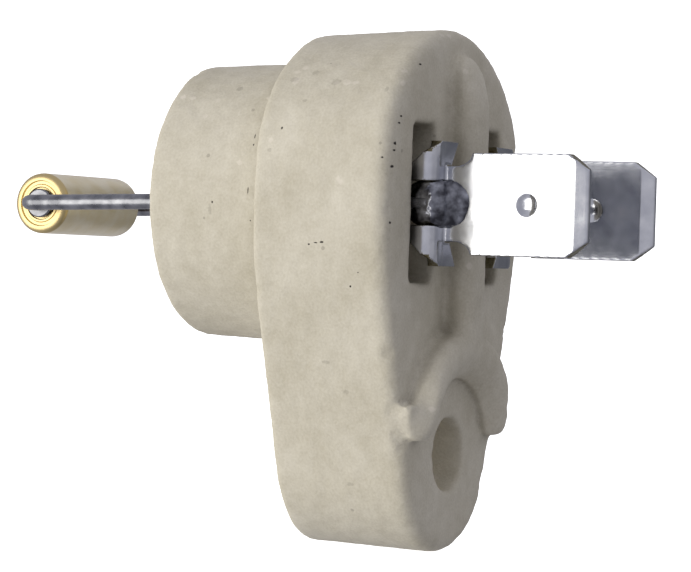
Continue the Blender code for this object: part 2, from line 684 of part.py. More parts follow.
clear_scene()
parts = new_collection(COLLECTION)
cutters = new_collection("cutters")
cutters.hide_render = True
ceramic = new_material("steatite", CERAMIC, 0.85, 0)
tinned_brass = new_material("tinned brass", TIN, 0.3, 1)
tinned_copper = new_material("tinned copper", TIN, 0.35, 1)
solder = new_material("solder", SOLDER_GREY, 0.3, 1)
gold = new_material("gold-washed brass", GOLD, 0.25, 1)
spring_steel = new_material("spring steel", STEEL, 0.35, 1)
silver = new_material("silver", SILVER, 0.25, 1)
organic = new_material("organic pellet", ORGANIC, 0.7, 0)
white_ceramic = new_material("white ceramic", WHITE_CERAMIC, 0.6, 0)
resin = new_material("epoxy resin", RESIN, 0.35, 0)

make_holder()
for side_name, x_sign in (("right", 1), ("left", -1)):
    make_terminal(f"{side_name}_terminal", x_sign)
    make_solder(f"{side_name}_solder_joint", x_sign)
make_case()
make_case_lead()
make_inner_pieces()
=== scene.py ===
"""The looks of a thermal cutoff on a ceramic holder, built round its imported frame.

The frame's directions: the cutoff lies in front at -Y, the tabs point back along +Y, and the screw lug hangs
at -Z. Right is +X. Pieces follow each other as the maker puts them together.
"""

import math

import bpy
from mathutils import Matrix, Vector, noise


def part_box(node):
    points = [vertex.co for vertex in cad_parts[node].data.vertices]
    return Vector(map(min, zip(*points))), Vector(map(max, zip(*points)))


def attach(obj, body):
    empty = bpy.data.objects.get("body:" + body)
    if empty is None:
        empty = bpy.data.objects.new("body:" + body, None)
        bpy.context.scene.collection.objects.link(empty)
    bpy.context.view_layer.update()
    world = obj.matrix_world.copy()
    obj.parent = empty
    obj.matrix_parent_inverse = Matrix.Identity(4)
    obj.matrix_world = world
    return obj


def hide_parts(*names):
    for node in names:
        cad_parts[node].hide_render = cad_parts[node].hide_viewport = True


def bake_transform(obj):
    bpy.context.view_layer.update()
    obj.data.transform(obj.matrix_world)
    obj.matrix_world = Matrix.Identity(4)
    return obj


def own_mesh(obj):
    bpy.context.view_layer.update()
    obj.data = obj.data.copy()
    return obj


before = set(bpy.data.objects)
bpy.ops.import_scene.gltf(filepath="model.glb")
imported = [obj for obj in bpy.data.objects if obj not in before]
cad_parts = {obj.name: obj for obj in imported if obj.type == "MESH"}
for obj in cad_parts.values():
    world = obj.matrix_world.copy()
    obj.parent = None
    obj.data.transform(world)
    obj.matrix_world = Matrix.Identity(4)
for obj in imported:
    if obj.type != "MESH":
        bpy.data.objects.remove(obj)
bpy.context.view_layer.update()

MM = 0.001


# ---------------------------------------------------------------------------------------------------------
# Steatite holder. Talc powder is pressed dry in a steel die, trimmed by hand and fired without a glaze, so
# it is matte and bone coloured, with tumbled edges, small pits at the rims and grey rubs from handling.

HOLDER_GRAIN = 0.195 * MM  # spacing of the fine mesh
REAR_Y = 9.3 * MM  # the flange's rear face
SCREW_Z = -15.85 * MM  # axis of the screw hole
HUMP_Z = (-16.5 * MM, -8 * MM)
HUMP_END_X = (5.2 * MM, 7.2 * MM)  # where the hump's ends start to fall, and where they are lowest
HUMP_END_DROP = 0.5  # share of its height that it loses there
SCREW_LIP = (4.5 * MM, 6.7 * MM)  # from the screw's axis: where the hump is lowest, and where it is full
SCREW_LIP_DROP = 0.55
MARK_SIZE = 0.62  # of the marks below, once their edges are ragged
PITS = (  # x, y, z of the middle, then half sizes across Y and Z, all in mm
    (6.11, 9.25, 8.60, 0.15, 0.13),
    (8.80, 9.30, 5.23, 0.12, 0.12),
    (9.10, 9.30, 4.80, 0.11, 0.11),
    (9.55, 9.28, 3.53, 0.13, 0.20),
    (9.64, 9.28, 3.10, 0.12, 0.12),
    (10.40, 8.84, 2.62, 0.13, 0.12),
    (9.81, 9.26, 2.09, 0.17, 0.17),
    (9.88, 9.25, -1.35, 0.09, 0.17),
    (9.97, 1.71, 4.38, 0.12, 0.16),
    (10.39, 4.04, -2.79, 0.15, 0.09),
    (10.41, 4.50, -2.69, 0.24, 0.06),
    (10.43, 4.93, -2.64, 0.20, 0.11),
    (9.98, 6.76, -5.31, 0.13, 0.13),
    (10.18, 7.34, -4.44, 0.08, 0.07),
    (8.14, -1.08, 3.95, 0.06, 0.36),
    (8.41, -1.05, 3.38, 0.09, 0.14),
    (9.04, -0.99, 0.50, 0.06, 0.42),
    (8.97, -3.57, -0.29, 0.11, 0.13),
    (8.96, -0.82, -1.39, 0.08, 0.10),
)
RUBS = (  # the same, for the fainter grey rubs
    (5.54, -3.64, 7.07, 0.50, 0.30),
    (7.99, 1.51, 7.50, 0.60, 0.35),
    (7.59, 2.77, 7.96, 0.50, 0.30),
    (9.15, 2.83, 6.12, 0.25, 0.25),
    (8.29, 4.52, 7.35, 0.70, 0.45),
    (8.83, 8.27, 6.90, 0.30, 0.35),
    (10.27, 1.05, 2.99, 0.28, 0.25),
    (8.52, 4.55, -10.06, 0.55, 0.20),
    (7.97, 5.72, -11.88, 0.40, 0.30),
    (6.11, 5.30, -17.70, 0.45, 0.25),
    (8.99, -3.75, -0.75, 0.25, 0.60),
)
CHIPS = (  # middle of each chipped edge, and how far it reaches and goes in, all in mm
    (8.68, 8.90, -9.44, 0.55, 0.08),
    (7.40, 9.15, -12.73, 0.80, 0.10),
    (6.81, 9.10, -14.73, 0.70, 0.11),
    (10.00, 9.10, -0.61, 0.45, 0.06),
    (9.05, -0.95, -0.43, 0.50, 0.025),
    (9.66, 0.10, -5.73, 0.50, 0.05),
    (-8.30, 9.05, -7.90, 0.80, 0.10),
    (-9.80, 9.10, 3.60, 0.60, 0.08),
    (2.10, 9.20, 10.60, 0.60, 0.07),
    (-5.60, 9.10, -17.90, 0.70, 0.09),
    (3.10, -8.20, 8.20, 0.50, 0.06),
    (-7.20, -8.20, -4.60, 0.60, 0.07),
)
CHIP_LIMIT = 1.3  # a chip's ragged edge lies no further out than this many reaches
CHIP_RAGGEDNESS = 0.5
CHIP_STEEPNESS = 2.2
FLAKE_SIZE = 0.35 * MM


def linear(hex_colour):
    """An sRGB hex value such as "C8C0AA" as a linear RGBA colour."""
    shares = [int(hex_colour[i : i + 2], 16) / 255 for i in (0, 2, 4)]
    return (*[s / 12.92 if s <= 0.04045 else ((s + 0.055) / 1.055) ** 2.4 for s in shares], 1)


def new_material(name):
    """An empty material, with its tree and the output's surface socket."""
    material = bpy.data.materials.new(name)
    material.use_nodes = True
    tree = material.node_tree
    tree.nodes.clear()
    return material, tree, tree.nodes.new("ShaderNodeOutputMaterial").inputs["Surface"]


def add(tree, kind, inputs, **settings):
    """Adds one node. Each input is a value, or the output socket that it is linked to."""
    node = tree.nodes.new("ShaderNode" + kind)
    for name, value in settings.items():
        setattr(node, name, value)
    for name, value in inputs.items():
        if isinstance(value, bpy.types.NodeSocket):
            tree.links.new(value, node.inputs[name])
        else:
            node.inputs[name].default_value = value
    return node.outputs


def select_only(piece):
    """Leaves this piece alone selected and active, in object mode."""
    bpy.ops.object.select_all(action="DESELECT")
    piece.select_set(True)
    bpy.context.view_layer.objects.active = piece


def copy_of(node, name):
    """A new piece that starts as a merged copy of a CAD node's mesh."""
    piece = bpy.data.objects.new(name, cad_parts[node].data.copy())
    bpy.context.scene.collection.objects.link(piece)
    piece.data.materials.clear()
    select_only(piece)
    bpy.ops.object.mode_set(mode="EDIT")
    bpy.ops.mesh.select_all(action="SELECT")
    bpy.ops.mesh.remove_doubles(threshold=1e-6)
    bpy.ops.mesh.normals_make_consistent(inside=False)
    bpy.ops.object.mode_set(mode="OBJECT")
    return piece


def apply_modifier(piece, kind, **settings):
    """Adds a modifier with its settings and applies it."""
    modifier = piece.modifiers.new(kind.title(), kind)
    for name, value in settings.items():
        setattr(modifier, name, value)
    select_only(piece)
    bpy.ops.object.modifier_apply(modifier=modifier.name)


def clouds(name, size):
    """A soft noise texture for a Displace modifier, with lumps about this far apart."""
    texture = bpy.data.textures.new(name, "CLOUDS")
    texture.noise_scale = size
    return texture


def finish_piece(piece, material, body, replaced):
    """Gives a piece its material and the body it moves with, and hides the CAD node that it stands for."""
    piece.data.materials.append(material)
    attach(piece, body)
    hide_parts(replaced)


def eased(value, low, high):
    """0 up to the low limit, 1 from the high one, and a smooth rise between them."""
    share = max(0, min(1, (value - low) / (high - low)))
    return share**2 * (3 - 2 * share)


def marks(tree, coordinates, places, depth, wobble):
    """1 in the middle of each listed mark, falling to 0 at its ragged edge."""
    found = None
    for x, y, z, half_y, half_z in places:
        half = Vector((depth, half_y * MM, half_z * MM)) * MARK_SIZE
        middle = Vector((x, y, z)) * MM
        local = add(tree, "VectorMath", {0: coordinates, 1: middle}, operation="SUBTRACT")["Vector"]
        local = add(tree, "VectorMath", {0: local, 1: half}, operation="DIVIDE")["Vector"]
        reach = add(tree, "VectorMath", {0: local}, operation="LENGTH")["Value"]
        if found is not None:
            reach = add(tree, "Math", {0: found, 1: reach}, operation="MINIMUM")["Value"]
        found = reach
    ragged = add(tree, "Math", {0: found, 1: wobble}, operation="ADD")["Value"]
    limits = {"Value": ragged, "From Min": 1.1, "From Max": 0.5}
    return add(tree, "MapRange", limits, interpolation_type="SMOOTHSTEP")["Result"]


def fired_steatite():
    """Unglazed steatite, pressed and fired: dull, cream, with a sandy grain of 0.1 to 0.3 mm, mottled over a
    few millimetres. Edges are rubbed paler, creases and sheltered corners get painted shade, and pits are
    nearly black."""
    material, tree, surface = new_material("steatite, pressed and fired")
    place = add(tree, "TexCoord", {})["Object"]
    patches = add(tree, "TexNoise", {"Vector": place, "Scale": 1 / (4.5 * MM), "Detail": 3.0})["Fac"]
    mottle = add(tree, "TexNoise", {"Vector": place, "Scale": 1 / (0.9 * MM), "Detail": 4.0})["Fac"]
    grain = add(tree, "TexNoise", {"Vector": place, "Scale": 1 / (0.16 * MM), "Detail": 3.0})["Fac"]
    tone = add(tree, "Math", {0: patches, 1: 0.55}, operation="MULTIPLY")["Value"]
    tone = add(tree, "Math", {0: mottle, 1: 0.3, 2: tone}, operation="MULTIPLY_ADD")["Value"]
    tone = add(tree, "Math", {0: grain, 1: 0.42, 2: tone}, operation="MULTIPLY_ADD")["Value"]
    ramp = add(tree, "ValToRGB", {"Fac": tone})
    stops = ramp["Color"].node.color_ramp.elements
    stops[0].position, stops[0].color = 0.46, linear("C0B9A5")
    stops[1].position, stops[1].color = 0.82, linear("D8D2C1")
    colour = ramp["Color"]

    edges = add(tree, "NewGeometry", {})["Pointiness"]
    worn = add(tree, "MapRange", {"Value": edges, "From Min": 0.565, "From Max": 0.62})["Result"]
    worn = add(tree, "Math", {0: worn, 1: mottle}, operation="MULTIPLY")["Value"]
    colour = add(tree, "Mix", {"Factor": worn, "A": colour, "B": linear("E2DACB")}, data_type="RGBA")[2]
    # Painted shade: concave corners and creases, found by their low pointiness, are darkened towards
    # grey-brown.
    painted_crease_shade = add(tree, "MapRange", {"Value": edges, "From Min": 0.485, "From Max": 0.44})["Result"]
    painted_crease_shade = add(tree, "Math", {0: painted_crease_shade, 1: 0.7}, operation="MULTIPLY")["Value"]
    colour = add(tree, "Mix", {"Factor": painted_crease_shade, "A": colour, "B": linear("8F8778")}, data_type="RGBA")[2]

    specks = add(tree, "TexVoronoi", {"Vector": place, "Scale": 1 / (1.7 * MM)})
    near = add(tree, "Math", {0: specks["Distance"], 1: 0.075}, operation="LESS_THAN")["Value"]
    few = add(tree, "SeparateColor", {"Color": specks["Color"]})["Red"]
    few = add(tree, "Math", {0: few, 1: 0.18}, operation="LESS_THAN")["Value"]
    speck = add(tree, "Math", {0: near, 1: few}, operation="MULTIPLY")["Value"]
    speck = add(tree, "Math", {0: speck, 1: 0.35}, operation="MULTIPLY")["Value"]
    colour = add(tree, "Mix", {"Factor": speck, "A": colour, "B": linear("6E675B")}, data_type="RGBA")[2]

    # Painted shade: faces that ambient occlusion finds sheltered, such as pocket walls and the creases at the
    # rib and hump, are darkened.
    shelter = add(tree, "AmbientOcclusion", {"Distance": 2.2 * MM}, samples=8)["AO"]
    painted_recess_shade = {"Value": shelter, "From Min": 0.86, "From Max": 0.25, "To Max": 0.9}
    painted_recess_shade = add(tree, "MapRange", painted_recess_shade)["Result"]
    colour = add(tree, "Mix", {"Factor": painted_recess_shade, "A": colour, "B": linear("5A5343")}, data_type="RGBA")[2]

    ragged = add(tree, "MapRange", {"Value": grain, "To Min": -0.5, "To Max": 0.5})["Result"]
    rub = marks(tree, place, RUBS, 0.6 * MM, ragged)
    rub = add(tree, "Math", {0: rub, 1: 0.28}, operation="MULTIPLY")["Value"]
    colour = add(tree, "Mix", {"Factor": rub, "A": colour, "B": linear("7D7768")}, data_type="RGBA")[2]
    pit = marks(tree, place, PITS, 0.3 * MM, ragged)
    colour = add(tree, "Mix", {"Factor": pit, "A": colour, "B": linear("2B2721")}, data_type="RGBA")[2]

    height = add(tree, "Math", {0: mottle, 1: 0.8, 2: grain}, operation="MULTIPLY_ADD")["Value"]
    height = add(tree, "Math", {0: pit, 1: -2.5, 2: height}, operation="MULTIPLY_ADD")["Value"]
    bump = add(tree, "Bump", {"Height": height, "Strength": 0.35, "Distance": 0.05 * MM})["Normal"]
    dull = add(tree, "MapRange", {"Value": mottle, "To Min": 0.78, "To Max": 0.92})["Result"]
    inputs = {"Base Color": colour, "Roughness": dull, "Normal": bump, "IOR": 1.58}
    inputs["Specular IOR Level"] = 0.3
    tree.links.new(add(tree, "BsdfPrincipled", inputs)["BSDF"], surface)
    return material


holder = copy_of("ceramic_holder", "holder")
apply_modifier(holder, "REMESH", mode="VOXEL", voxel_size=HOLDER_GRAIN)
apply_modifier(holder, "SMOOTH", factor=0.5, iterations=3)
for vert in holder.data.vertices:
    if vert.co.y > REAR_Y and HUMP_Z[0] < vert.co.z < HUMP_Z[1]:
        end = eased(abs(vert.co.x), *HUMP_END_X)
        clear = eased(math.hypot(vert.co.x, vert.co.z - SCREW_Z), *SCREW_LIP)
        height = (1 - HUMP_END_DROP * end) * (1 - SCREW_LIP_DROP * (1 - clear))
        vert.co.y = REAR_Y + (vert.co.y - REAR_Y) * height
apply_modifier(holder, "SMOOTH", factor=0.5, iterations=4)
apply_modifier(holder, "DISPLACE", texture=clouds("die wear", 4 * MM), strength=0.09 * MM, mid_level=0.5)
powder = clouds("dragged powder", 0.7 * MM)
apply_modifier(holder, "DISPLACE", texture=powder, strength=0.07 * MM, mid_level=0.5)
for x, y, z, reach, depth in CHIPS:
    middle = Vector((x, y, z)) * MM
    for vert in holder.data.vertices:
        distance = (vert.co - middle).length / (reach * MM)
        if distance < CHIP_LIMIT:
            flake = distance + CHIP_RAGGEDNESS * noise.noise(vert.co / FLAKE_SIZE)
            vert.co -= vert.normal * depth * MM * max(0, min(1, CHIP_STEEPNESS * (1 - flake)))
bpy.ops.object.shade_smooth()
finish_piece(holder, fired_steatite(), "holder", "ceramic_holder")


# ---------------------------------------------------------------------------------------------------------
# Quick-connect terminals, stamped from tin-plated brass strip and folded. The faces are bright tin with fine
# rolling lines and handling dents, and the sheared edges show the raw brass.

TIN_GRAIN = 0.075 * MM  # spacing of the fine mesh
SHEARED = 0.72  # a face this much towards up or down was cut by the shear
EAR_Z = 3.2 * MM  # past this height, a face that points neither forwards nor back is an ear's cut end
EAR_FACE = 0.6  # a face this much towards the front or rear points forwards or back


def two_tones(tree, place, size, dark, light, low=0.35, high=0.65):
    """Noise with patches of about this size, and a colour that runs between two tones with it."""
    patches = add(tree, "TexNoise", {"Vector": place, "Scale": 1 / size, "Detail": 4.0})["Fac"]
    ramp = add(tree, "ValToRGB", {"Fac": patches})
    stops = ramp["Color"].node.color_ramp.elements
    stops[0].position, stops[0].color = low, linear(dark)
    stops[1].position, stops[1].color = high, linear(light)
    return patches, ramp["Color"]


def tin_plate():
    """Bright tin on brass: pale grey metal, with rolling lines along the strip and cloudy patches."""
    material, tree, surface = new_material("tin plate, rolled")
    place = add(tree, "TexCoord", {})["Object"]
    cloudy, colour = two_tones(tree, place, 1.4 * MM, "BBBDC4", "DEDFE2", 0.3, 0.7)
    along = add(tree, "Mapping", {"Vector": place, "Scale": (1, 0.06, 1)})["Vector"]
    lines = add(tree, "TexNoise", {"Vector": along, "Scale": 1 / (0.12 * MM), "Detail": 3.0})["Fac"]
    rough = add(tree, "Math", {0: cloudy, 1: 0.1, 2: 0.14}, operation="MULTIPLY_ADD")["Value"]
    bump = add(tree, "Bump", {"Height": lines, "Strength": 0.2, "Distance": 0.01 * MM})["Normal"]
    dents = {"Height": cloudy, "Strength": 0.15, "Distance": 0.03 * MM, "Normal": bump}
    dents = add(tree, "Bump", dents)["Normal"]
    inputs = {"Base Color": colour, "Metallic": 1.0, "Roughness": rough, "Normal": dents}
    tree.links.new(add(tree, "BsdfPrincipled", inputs)["BSDF"], surface)
    return material


def sheared_brass():
    """The cut edge of the strip: yellow brass, scored across its thickness and smeared with tin."""
    material, tree, surface = new_material("brass, sheared")
    place = add(tree, "TexCoord", {})["Object"]
    smear, colour = two_tones(tree, place, 0.5 * MM, "5C5438", "98937F")
    bump = add(tree, "Bump", {"Height": smear, "Strength": 0.5, "Distance": 0.03 * MM})["Normal"]
    inputs = {"Base Color": colour, "Metallic": 1.0, "Roughness": 0.42, "Normal": bump}
    tree.links.new(add(tree, "BsdfPrincipled", inputs)["BSDF"], surface)
    return material


tin, brass = tin_plate(), sheared_brass()
for side in ("right", "left"):
    terminal = copy_of(f"{side}_terminal", f"{side}_tab")
    apply_modifier(terminal, "REMESH", mode="VOXEL", voxel_size=TIN_GRAIN)
    apply_modifier(terminal, "SMOOTH", factor=0.5, iterations=3)
    dents = clouds(f"{side} handling dents", 1.6 * MM)
    apply_modifier(terminal, "DISPLACE", texture=dents, strength=0.015 * MM, mid_level=0.5)
    bpy.ops.object.shade_smooth()
    terminal.data.materials.append(tin)
    finish_piece(terminal, brass, "holder", f"{side}_terminal")
    for face in terminal.data.polygons:
        ear_end = abs(face.center.z) > EAR_Z and abs(face.normal.y) < EAR_FACE
        face.material_index = 1 if ear_end or abs(face.normal.z) > SHEARED else 0


# ---------------------------------------------------------------------------------------------------------
# Solder joints. Each lead ends in its terminal's slot, which is flooded with solder: dark, glossy and
# rippled, with a smoky film of flux. The pool follows the leg, the bend and the foot of the blade.

SOLDER_POOL = (  # x, y of the middle of each lump, then its half sizes, all in mm
    (6.00, 9.70, 0.55, 1.30, 1.48),
    (5.85, 10.25, 0.75, 0.80, 1.48),
    (5.55, 10.65, 0.95, 0.72, 1.48),
    (5.15, 10.95, 0.80, 1.00, 1.46),
    (4.98, 11.35, 0.58, 1.25, 1.42),
)
SOLDER_GRAIN = 0.07 * MM


def frozen_solder():
    """Tin-lead solder, melted and frozen: silvery and rippled, under a dark film of burnt flux."""
    material, tree, surface = new_material("solder, frozen")
    place = add(tree, "TexCoord", {})["Object"]
    smear, colour = two_tones(tree, place, 0.8 * MM, "4A4A50", "A6A8B0", 0.38, 0.68)
    along = add(tree, "Mapping", {"Vector": place, "Scale": (0.5, 0.3, 1)})["Vector"]
    ripple = add(tree, "TexNoise", {"Vector": along, "Scale": 1 / (0.3 * MM), "Detail": 2.0})["Fac"]
    rough = add(tree, "Math", {0: smear, 1: 0.3, 2: 0.03}, operation="MULTIPLY_ADD")["Value"]
    bump = add(tree, "Bump", {"Height": ripple, "Strength": 0.6, "Distance": 0.06 * MM})["Normal"]
    inputs = {"Base Color": colour, "Metallic": 1.0, "Roughness": rough, "Normal": bump}
    tree.links.new(add(tree, "BsdfPrincipled", inputs)["BSDF"], surface)
    return material


solder = frozen_solder()
for side, sign in (("right", 1), ("left", -1)):
    bpy.ops.object.select_all(action="DESELECT")
    lumps = []
    for x, y, half_x, half_y, half_z in SOLDER_POOL:
        bpy.ops.mesh.primitive_uv_sphere_add(segments=32, ring_count=24, radius=1)
        lump = bpy.context.object
        size = Matrix.Diagonal((half_x * MM, half_y * MM, half_z * MM, 1))
        lump.data.transform(Matrix.Translation((sign * x * MM, y * MM, 0)) @ size)
        lumps.append(lump)
    for lump in lumps:
        lump.select_set(True)
    bpy.ops.object.join()
    joint = bpy.context.object
    joint.name = f"{side}_solder"
    apply_modifier(joint, "REMESH", mode="VOXEL", voxel_size=SOLDER_GRAIN)
    apply_modifier(joint, "SMOOTH", factor=0.5, iterations=30)
    ripples = clouds(f"{side} solder ripples", 0.6 * MM)
    apply_modifier(joint, "DISPLACE", texture=ripples, strength=0.12 * MM, mid_level=0.5)
    bpy.ops.object.shade_smooth()
    finish_piece(joint, solder, "holder", f"{side}_solder_joint")


# ---------------------------------------------------------------------------------------------------------
# Cutoff case. A cup drawn from thin brass and flashed with pale gold, closed and dished at its right end, its
# left rim turned in over the seal.

CASE_PROFILE = (  # x from the middle of the case, and radius, in mm
    (4.76, 0.56),
    (4.76, 1.04),
    (4.87, 1.10),
    (4.87, 1.22),
    (4.80, 1.28),
    (4.80, 1.46),
    (4.925, 1.52),
    (4.925, 1.62),
    (4.885, 1.78),
    (4.80, 1.91),
    (4.68, 1.98),
    (4.54, 2.0),
    (-4.54, 2.0),
    (-4.68, 1.98),
    (-4.80, 1.91),
    (-4.885, 1.78),
    (-4.925, 1.65),
    (-4.925, 1.56),
    (-4.66, 1.56),
    (-4.33, 1.7),
    (4.525, 1.7),
    (4.525, 0.56),
)
CASE_Y = -18.6  # mm
CASE_Z = -0.5
CASE_MIDDLE = Vector((0, CASE_Y, CASE_Z)) * MM
BARE_END_X = 4.62 * MM


def tidy_mesh(piece):
    """Merges doubled points and turns every face outwards."""
    select_only(piece)
    bpy.ops.object.mode_set(mode="EDIT")
    bpy.ops.mesh.select_all(action="SELECT")
    bpy.ops.mesh.remove_doubles(threshold=1e-7)
    bpy.ops.mesh.normals_make_consistent(inside=False)
    bpy.ops.object.mode_set(mode="OBJECT")


def turned(name, profile):
    """A piece spun round the case's axis from (x, radius) pairs in mm. The profile is closed, unless it
    starts on the axis."""
    mesh = bpy.data.meshes.new(name)
    count = len(profile) - 1 if profile[0][1] == 0 else len(profile)
    edges = [(i, (i + 1) % len(profile)) for i in range(count)]
    mesh.from_pydata([(x * MM, 0, radius * MM) for x, radius in profile], edges, [])
    piece = bpy.data.objects.new(name, mesh)
    bpy.context.scene.collection.objects.link(piece)
    select_only(piece)
    bpy.ops.object.mode_set(mode="EDIT")
    bpy.ops.mesh.select_all(action="SELECT")
    bpy.ops.mesh.spin(steps=96, angle=math.tau, center=(0, 0, 0), axis=(1, 0, 0))
    bpy.ops.object.mode_set(mode="OBJECT")
    tidy_mesh(piece)
    mesh.transform(Matrix.Translation(CASE_MIDDLE))
    bpy.ops.object.shade_smooth_by_angle(angle=math.radians(30))
    return piece


def flashed_gold():
    """Pale gold over drawn brass: a soft shine, with draw lines along the case and rubbed patches. The closed
    end, where the wash is bare, is a richer gold."""
    material, tree, surface = new_material("brass, drawn and gold flashed")
    place = add(tree, "TexCoord", {})["Object"]
    rubbed, colour = two_tones(tree, place, 1.2 * MM, "E6D9B4", "EFE6CC")
    along = add(tree, "Mapping", {"Vector": place, "Scale": (0.05, 1, 1)})["Vector"]
    lines = add(tree, "TexNoise", {"Vector": along, "Scale": 1 / (0.15 * MM), "Detail": 3.0})["Fac"]
    rough = add(tree, "Math", {0: rubbed, 1: 0.15, 2: 0.27}, operation="MULTIPLY_ADD")["Value"]
    bump = add(tree, "Bump", {"Height": lines, "Strength": 0.3, "Distance": 0.01 * MM})["Normal"]
    across = add(tree, "SeparateXYZ", {"Vector": place})["X"]
    bare = {"Value": across, "From Min": BARE_END_X - 0.1 * MM, "From Max": BARE_END_X}
    bare = add(tree, "MapRange", bare)["Result"]
    colour = add(tree, "Mix", {"Factor": bare, "A": colour, "B": linear("CDB988")}, data_type="RGBA")[2]
    metal = add(tree, "MapRange", {"Value": bare, "To Min": 0.5, "To Max": 1.0})["Result"]
    inputs = {"Base Color": colour, "Metallic": metal, "Roughness": rough, "Normal": bump}
    tree.links.new(add(tree, "BsdfPrincipled", inputs)["BSDF"], surface)
    return material


case = turned("case", CASE_PROFILE)
finish_piece(case, flashed_gold(), "holder", "fuse_case")


# ---------------------------------------------------------------------------------------------------------
# Leads. Tinned copper wire, drawn and bent round a mandrel. The right one is staked into the case's closed
# end behind a collar, and the left one ends inside in a headed contact.

LEAD_RADIUS = 0.51  # mm, like all the lengths below
LEAD_BEND = 0.9
LEAD_CORNER = Vector((6.05, CASE_Y + LEAD_BEND, CASE_Z))  # middle of the bend
LEAD_RUN = ((6.664, -8.35, -0.25), (6.409, 0, -0.25), (6.1, 10.1, 0))
BEND_STEPS = 16
STAKED_COLLAR = ((4.98, 0), (4.98, 0.95), (5.07, 0.95), (5.155, 0.86), (5.155, 0))
CONTACT_HEAD = ((0.025, 0), (0.025, 0.8), (-0.03, 0.85), (-0.425, 0.85), (-0.425, 0))
LEADS = (  # CAD node, the sign of its side, how far out on that side it starts, and its collar or head
    ("case_lead", 1, 4.525, STAKED_COLLAR),
    ("isolated_lead", -1, -0.025, CONTACT_HEAD),
)


def wire_through(name, points, radius):
    """A round wire through points in mm."""
    curve = bpy.data.curves.new(name, "CURVE")
    curve.dimensions = "3D"
    curve.bevel_depth = radius * MM
    curve.bevel_resolution = 5
    curve.use_fill_caps = True
    spline = curve.splines.new("POLY")
    spline.points.add(len(points) - 1)
    for point, place in zip(spline.points, points):
        point.co = (*(Vector(place) * MM), 1)
    piece = bpy.data.objects.new(name, curve)
    bpy.context.scene.collection.objects.link(piece)
    select_only(piece)
    bpy.ops.object.convert(target="MESH")
    tidy_mesh(bpy.context.object)
    bpy.ops.object.shade_smooth_by_angle(angle=math.radians(40))
    return bpy.context.object


def tinned_wire():
    """Tin on drawn copper: grey and satin, with die lines along the wire."""
    material, tree, surface = new_material("tinned copper, drawn")
    place = add(tree, "TexCoord", {})["Object"]
    stain, colour = two_tones(tree, place, 0.9 * MM, "6C6D72", "97989D")
    along = add(tree, "Mapping", {"Vector": place, "Scale": (1, 0.05, 1)})["Vector"]
    lines = add(tree, "TexNoise", {"Vector": along, "Scale": 1 / (0.14 * MM), "Detail": 3.0})["Fac"]
    rough = add(tree, "Math", {0: stain, 1: 0.2, 2: 0.2}, operation="MULTIPLY_ADD")["Value"]
    bump = add(tree, "Bump", {"Height": lines, "Strength": 0.15, "Distance": 0.01 * MM})["Normal"]
    inputs = {"Base Color": colour, "Metallic": 1.0, "Roughness": rough, "Normal": bump}
    tree.links.new(add(tree, "BsdfPrincipled", inputs)["BSDF"], surface)
    return material


wire = tinned_wire()
angles = [math.radians(90 * i / BEND_STEPS - 90) for i in range(BEND_STEPS + 1)]
bend = [LEAD_CORNER + LEAD_BEND * Vector((math.cos(a), math.sin(a), 0)) for a in angles]
for node, sign, start, end_profile in LEADS:
    path = [(start, CASE_Y, CASE_Z), *bend, *LEAD_RUN]
    lead = wire_through(f"{node}_wire", [(sign * x, y, z) for x, y, z in path], LEAD_RADIUS)
    head = turned(f"{node}_head", end_profile)
    select_only(lead)
    head.select_set(True)
    bpy.ops.object.join()
    finish_piece(lead, wire, "holder", node)


# ---------------------------------------------------------------------------------------------------------
# Inside the case, from the closed end: the pressed pellet that melts, a disc, the main spring, a second disc
# and the silver star contact, the trip spring, the alumina bushing, and the resin that seals the mouth.

PELLET_X = (2.575, 4.475)
PELLET_DISC_X = (2.275, 2.525)
MAIN_SPRING_X = (0.725, 2.225)
CONTACT_DISC_X = (0.425, 0.675)
TRIP_SPRING_X = (-1.025, 0.025)
BUSHING_X = (-3.275, -1.075)
INSIDE_RADIUS = 1.65
BORE_RADIUS = 0.56
PELLET_EDGE = 0.12  # how far its edges are broken
DISC_EDGE = 0.05  # the same for the discs and the bushing
SPRING_WIRE = 0.12  # radius
COIL_STEPS = 32  # points in each turn
SEAL_PROFILE = (
    (-3.325, BORE_RADIUS),
    (-3.325, INSIDE_RADIUS),
    (-4.225, INSIDE_RADIUS),
    (-4.525, 1.5),
    (-4.925, 1.5),
    (-5.04, 1.42),
    (-5.16, 1.2),
    (-5.24, 0.9),
    (-5.275, BORE_RADIUS),
)


def pressed_pellet():
    """Organic powder pressed into a tablet: chalky cream, with a waxy grain."""
    material, tree, surface = new_material("organic pellet, pressed")
    place = add(tree, "TexCoord", {})["Object"]
    grain, colour = two_tones(tree, place, 0.2 * MM, "CFC4A6", "EAE3CF")
    bump = add(tree, "Bump", {"Height": grain, "Strength": 0.4, "Distance": 0.03 * MM})["Normal"]
    inputs = {"Base Color": colour, "Roughness": 0.7, "Normal": bump}
    tree.links.new(add(tree, "BsdfPrincipled", inputs)["BSDF"], surface)
    return material


def bright_metal(name, dark, light, rough):
    """Bare metal with faint cloudy stains and scratches: drawn or blanked steel, or silver plate."""
    material, tree, surface = new_material(name)
    place = add(tree, "TexCoord", {})["Object"]
    stain, colour = two_tones(tree, place, 0.6 * MM, dark, light)
    scratches = add(tree, "TexNoise", {"Vector": place, "Scale": 1 / (0.08 * MM), "Detail": 3.0})["Fac"]
    gloss = add(tree, "Math", {0: stain, 1: 0.2, 2: rough - 0.1}, operation="MULTIPLY_ADD")["Value"]
    bump = add(tree, "Bump", {"Height": scratches, "Strength": 0.3, "Distance": 0.01 * MM})["Normal"]
    inputs = {"Base Color": colour, "Metallic": 1.0, "Roughness": gloss, "Normal": bump}
    tree.links.new(add(tree, "BsdfPrincipled", inputs)["BSDF"], surface)
    return material


